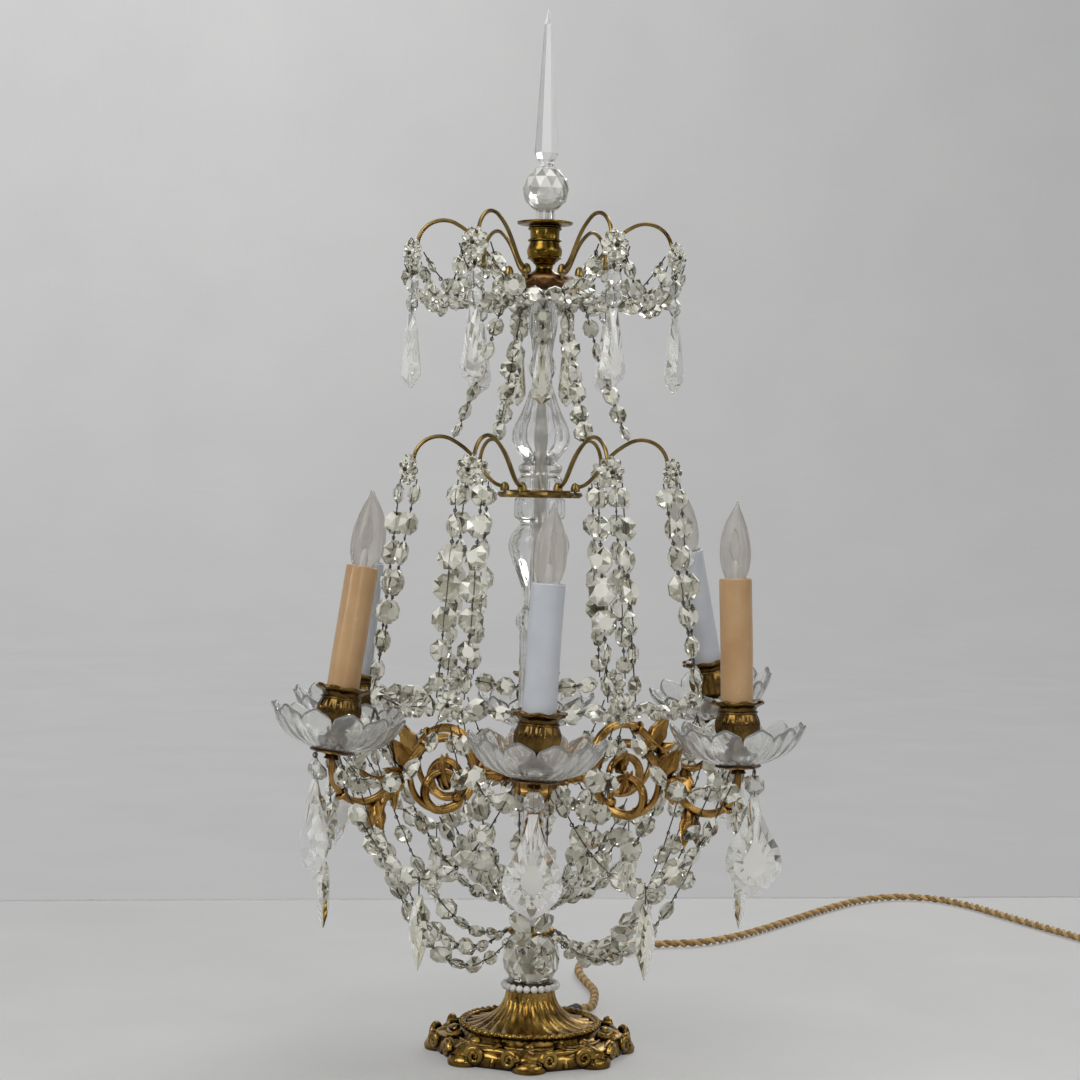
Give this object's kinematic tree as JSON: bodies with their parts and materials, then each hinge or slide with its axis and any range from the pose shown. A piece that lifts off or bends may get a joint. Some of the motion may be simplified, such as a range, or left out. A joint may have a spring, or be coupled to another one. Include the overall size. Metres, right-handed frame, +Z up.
{
  "type": "girandole candle holder",
  "caption": "Table girandole on a gilt scroll foot, with a glass stem, scroll arms carrying electric candles over glass drip pans, and tiers of cut-glass strings.",
  "frame": {"origin": "on the table under the centre of the foot", "axes": "+Z up along the stem, -Y to the front"},
  "size_m": [0.7181, 0.7728, 0.68],
  "materials": {
    "gilt_brass": "antique gilt, worn",
    "dark_bronze": "dark patina",
    "plate_steel": "plain",
    "tube_brass": "dull",
    "lead_plastic": "matte",
    "white_ceramic": "glazed",
    "crystal": "cut and polished",
    "white_bead": "polished",
    "cream_sleeve": "satin",
    "white_sleeve": "satin",
    "bulb_glass": "frosted",
    "gland_rubber": "matte",
    "silk_cord": "twisted silk",
    "plug_plastic": "glossy"
  },
  "bodies": {
    "stand": {"base_foot": "gilt_brass", "bottom_plate": "plate_steel", "plate_screws": "plate_steel", "cord_gland": "gland_rubber", "terminal_block": "white_ceramic", "threaded_tube": "tube_brass", "inner_lead": "lead_plastic", "foot_nut": "plate_steel", "bead_collar": "white_bead", "cut_ball": "crystal", "ball_cap": "gilt_brass", "lower_spindle": "crystal", "arm_hub": "gilt_brass", "stem_shaft": "crystal", "lower_baluster": "crystal", "middle_ring": "dark_bronze", "fluted_vase": "crystal", "upper_column": "crystal", "crown_plate": "dark_bronze", "tier_hooks": "dark_bronze", "rosettes": "crystal", "top_cup": "gilt_brass", "drip_pans": "crystal", "candle_cups": "gilt_brass", "lampholders": "white_ceramic", "cream_sleeves": "cream_sleeve", "white_sleeves": "white_sleeve", "crown_strings": "crystal", "curtain_strings": "crystal", "arm_garlands": "crystal", "basket_strings": "crystal", "cord": "silk_cord", "cord_coil": "silk_cord", "plug": "plug_plastic", "arm_1": "gilt_brass", "arm_2": "gilt_brass", "arm_3": "gilt_brass", "arm_4": "gilt_brass", "arm_5": "gilt_brass", "arm_6": "gilt_brass"},
    "bulb_1": {"bulb_1": "bulb_glass"},
    "bulb_2": {"bulb_2": "bulb_glass"},
    "bulb_3": {"bulb_3": "bulb_glass"},
    "bulb_4": {"bulb_4": "bulb_glass"},
    "bulb_5": {"bulb_5": "bulb_glass"},
    "bulb_6": {"bulb_6": "bulb_glass"},
    "pear_drop_1": {"pear_drop_1": "crystal"},
    "pear_drop_2": {"pear_drop_2": "crystal"},
    "pear_drop_3": {"pear_drop_3": "crystal"},
    "pear_drop_4": {"pear_drop_4": "crystal"},
    "pear_drop_5": {"pear_drop_5": "crystal"},
    "pear_drop_6": {"pear_drop_6": "crystal"},
    "crown_drop_1": {"crown_drop_1": "crystal"},
    "crown_drop_2": {"crown_drop_2": "crystal"},
    "crown_drop_3": {"crown_drop_3": "crystal"},
    "crown_drop_4": {"crown_drop_4": "crystal"},
    "crown_drop_5": {"crown_drop_5": "crystal"},
    "crown_drop_6": {"crown_drop_6": "crystal"},
    "finial": {"finial_ball": "crystal", "spire": "crystal"}
  },
  "joints": [
    {"name": "bulb_1_screw", "type": "hinge", "parent": "stand", "child": "bulb_1", "pos_m": [0.00605, -0.146, 0.31034], "axis": [0.0523, 0, 0.9986], "continuous": true},
    {"name": "bulb_2_screw", "type": "hinge", "parent": "stand", "child": "bulb_2", "pos_m": [0.12272, -0.07085, 0.31249], "axis": [-0.0302, 0.0174, 0.9994], "continuous": true},
    {"name": "bulb_3_screw", "type": "hinge", "parent": "stand", "child": "bulb_3", "pos_m": [0.10078, 0.05819, 0.32586], "axis": [-0.1948, -0.1125, 0.9744], "continuous": true},
    {"name": "bulb_4_screw", "type": "hinge", "parent": "stand", "child": "bulb_4", "pos_m": [0, 0.146, 0.3105], "axis": [0, 0, 1], "continuous": true},
    {"name": "bulb_5_screw", "type": "hinge", "parent": "stand", "child": "bulb_5", "pos_m": [-0.1155, 0.06668, 0.31398], "axis": [0.0905, -0.0523, 0.9945], "continuous": true},
    {"name": "bulb_6_screw", "type": "hinge", "parent": "stand", "child": "bulb_6", "pos_m": [-0.11002, -0.06352, 0.31524], "axis": [0.1355, 0.0782, 0.9877], "continuous": true},
    {"name": "pear_drop_1_swing", "type": "hinge", "parent": "stand", "child": "pear_drop_1", "pos_m": [-0.00015, -0.1575, 0.1922], "axis": [-1, 0, 0], "range_deg": [-8, 35]},
    {"name": "pear_drop_2_swing", "type": "hinge", "parent": "stand", "child": "pear_drop_2", "pos_m": [0.13625, -0.07866, 0.19466], "axis": [-0.5, -0.866, 0], "range_deg": [-8, 35]},
    {"name": "pear_drop_3_swing", "type": "hinge", "parent": "stand", "child": "pear_drop_3", "pos_m": [0.13353, 0.07709, 0.21318], "axis": [0.5, -0.866, 0], "range_deg": [-8, 35]},
    {"name": "pear_drop_4_swing", "type": "hinge", "parent": "stand", "child": "pear_drop_4", "pos_m": [0, 0.1575, 0.1922], "axis": [1, 0, 0], "range_deg": [-8, 35]},
    {"name": "pear_drop_5_swing", "type": "hinge", "parent": "stand", "child": "pear_drop_5", "pos_m": [-0.13611, 0.07859, 0.19753], "axis": [0.5, 0.866, 0], "range_deg": [-8, 35]},
    {"name": "pear_drop_6_swing", "type": "hinge", "parent": "stand", "child": "pear_drop_6", "pos_m": [-0.13588, -0.07845, 0.2002], "axis": [-0.5, 0.866, 0], "range_deg": [-8, 35]},
    {"name": "crown_drop_1_swing", "type": "hinge", "parent": "stand", "child": "crown_drop_1", "pos_m": [0.04325, -0.07491, 0.5067], "axis": [-0.866, -0.5, 0], "range_deg": [-10, 35]},
    {"name": "crown_drop_2_swing", "type": "hinge", "parent": "stand", "child": "crown_drop_2", "pos_m": [0.08568, -0.00225, 0.5067], "axis": [-0.6428, -0.766, 0], "range_deg": [-10, 35]},
    {"name": "crown_drop_3_swing", "type": "hinge", "parent": "stand", "child": "crown_drop_3", "pos_m": [0.04325, 0.07491, 0.5067], "axis": [0.866, -0.5, 0], "range_deg": [-10, 35]},
    {"name": "crown_drop_4_swing", "type": "hinge", "parent": "stand", "child": "crown_drop_4", "pos_m": [-0.04325, 0.07491, 0.5067], "axis": [0.866, 0.5, 0], "range_deg": [-10, 35]},
    {"name": "crown_drop_5_swing", "type": "hinge", "parent": "stand", "child": "crown_drop_5", "pos_m": [-0.08568, -0.00225, 0.5067], "axis": [-0.6428, 0.766, 0], "range_deg": [-10, 35]},
    {"name": "crown_drop_6_swing", "type": "hinge", "parent": "stand", "child": "crown_drop_6", "pos_m": [-0.04325, -0.07491, 0.5067], "axis": [-0.866, 0.5, 0], "range_deg": [-10, 35]},
    {"name": "finial_turn", "type": "hinge", "parent": "stand", "child": "finial", "pos_m": [0, 0, 0.54], "axis": [0, 0, 1], "continuous": true}
  ]
}
